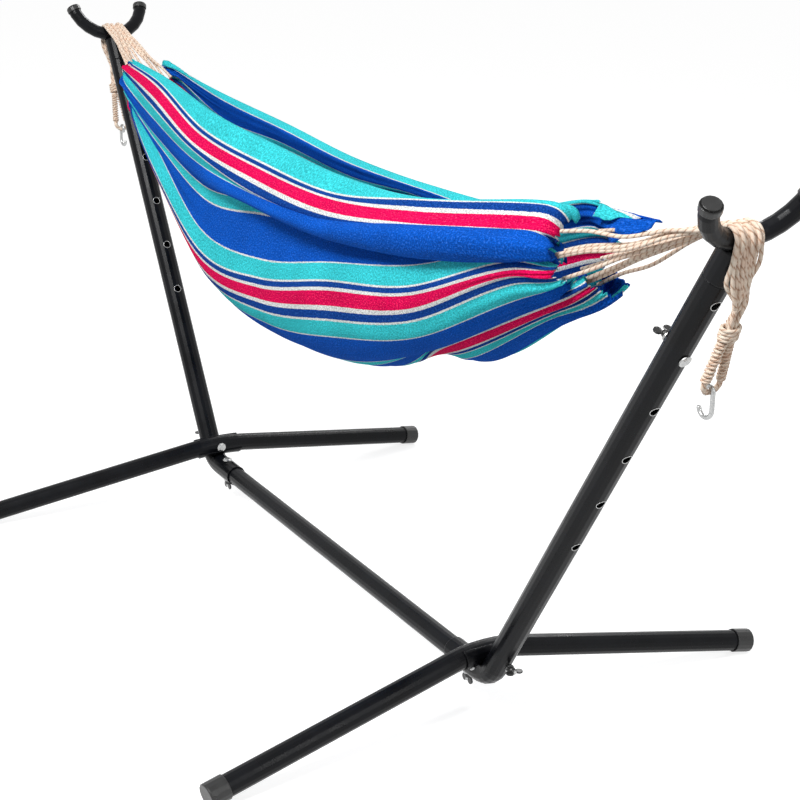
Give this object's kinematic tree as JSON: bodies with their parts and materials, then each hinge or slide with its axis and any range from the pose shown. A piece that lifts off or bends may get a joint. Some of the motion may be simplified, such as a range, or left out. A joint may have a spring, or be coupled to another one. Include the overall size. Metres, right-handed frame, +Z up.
{
  "type": "hammock with stand",
  "caption": "Striped cloth hammock slung by cords between the forked posts of a tubular steel floor stand with cross legs and wing nuts.",
  "frame": {"origin": "on the floor under the middle of the base beam", "axes": "+X along the base beam towards the right end, +Z up, -Y the side where the cloth's rim rolls outwards"},
  "size_m": [2.5276, 1.2028, 1.1212],
  "materials": {
    "black_steel": "satin black powder coat",
    "black_plastic": "matte black",
    "zinc_plate": "bright zinc plate",
    "striped_cloth": "woven cotton with lengthwise stripes",
    "cotton_cord": "laid cotton cord"
  },
  "bodies": {
    "stand": {"base_beam": "black_steel", "lower_post_right": "black_steel", "lower_post_left": "black_steel", "fork_post_right": "black_steel", "fork_post_left": "black_steel", "fork_horn_right": "black_steel", "fork_horn_left": "black_steel", "cross_leg_right": "black_steel", "cross_leg_left": "black_steel", "leg_saddle_right": "black_steel", "leg_saddle_left": "black_steel", "fork_cap_near_right": "black_plastic", "fork_cap_far_right": "black_plastic", "fork_cap_near_left": "black_plastic", "fork_cap_far_left": "black_plastic", "foot_cap_near_right": "black_plastic", "foot_cap_far_right": "black_plastic", "foot_cap_near_left": "black_plastic", "foot_cap_far_left": "black_plastic", "saddle_screw_near_right": "zinc_plate", "saddle_screw_far_right": "zinc_plate", "saddle_screw_near_left": "zinc_plate", "saddle_screw_far_left": "zinc_plate", "post_bolt_right": "zinc_plate", "post_bolt_left": "zinc_plate", "post_washer_right": "zinc_plate", "post_washer_left": "zinc_plate", "beam_bolt_right": "zinc_plate", "beam_bolt_left": "zinc_plate", "beam_washer_right": "zinc_plate", "beam_washer_left": "zinc_plate", "leg_bolt_right": "zinc_plate", "leg_bolt_left": "zinc_plate", "leg_washer_right": "zinc_plate", "leg_washer_left": "zinc_plate", "rope_tail_right": "cotton_cord", "rope_tail_left": "cotton_cord", "rope_eye_right": "cotton_cord", "rope_eye_left": "cotton_cord", "whipping_right": "cotton_cord", "whipping_left": "cotton_cord"},
    "bed": {"hammock_bed": "striped_cloth", "end_cords_right": "cotton_cord", "end_cords_left": "cotton_cord"},
    "hook_right": {"eye_hook_right": "zinc_plate"},
    "hook_left": {"eye_hook_left": "zinc_plate"},
    "post_nut_right": {"post_wing_nut_right": "zinc_plate"},
    "post_nut_left": {"post_wing_nut_left": "zinc_plate"},
    "beam_nut_right": {"beam_wing_nut_right": "zinc_plate"},
    "beam_nut_left": {"beam_wing_nut_left": "zinc_plate"},
    "leg_nut_right": {"leg_wing_nut_right": "zinc_plate"},
    "leg_nut_left": {"leg_wing_nut_left": "zinc_plate"}
  },
  "joints": [
    {"name": "bed_swing", "type": "hinge", "parent": "stand", "child": "bed", "pos_m": [0, 0, 1.0443], "axis": [1, 0, 0], "range_deg": [-30, 30]},
    {"name": "hook_swing_right", "type": "hinge", "parent": "stand", "child": "hook_right", "pos_m": [1.1717, 0, 0.8066], "axis": [0, 1, 0], "range_deg": [-60, 60]},
    {"name": "hook_swing_left", "type": "hinge", "parent": "stand", "child": "hook_left", "pos_m": [-1.1717, 0, 0.8066], "axis": [0, 1, 0], "range_deg": [-60, 60]},
    {"name": "post_nut_turn_right", "type": "hinge", "parent": "stand", "child": "post_nut_right", "pos_m": [1.06757, 0, 0.86425], "axis": [-0.8572, 0, 0.515], "continuous": true},
    {"name": "post_nut_turn_left", "type": "hinge", "parent": "stand", "child": "post_nut_left", "pos_m": [-1.06757, 0, 0.86425], "axis": [0.8572, 0, 0.515], "continuous": true},
    {"name": "beam_nut_turn_right", "type": "hinge", "parent": "stand", "child": "beam_nut_right", "pos_m": [0.55, 0, 0.0469], "axis": [0, 0, -1], "continuous": true},
    {"name": "beam_nut_turn_left", "type": "hinge", "parent": "stand", "child": "beam_nut_left", "pos_m": [-0.55, 0, 0.0469], "axis": [0, 0, -1], "continuous": true},
    {"name": "leg_nut_turn_right", "type": "hinge", "parent": "stand", "child": "leg_nut_right", "pos_m": [0.69286, 0, 0.12135], "axis": [1, 0, 0], "continuous": true},
    {"name": "leg_nut_turn_left", "type": "hinge", "parent": "stand", "child": "leg_nut_left", "pos_m": [-0.69286, 0, 0.12135], "axis": [-1, 0, 0], "continuous": true}
  ]
}
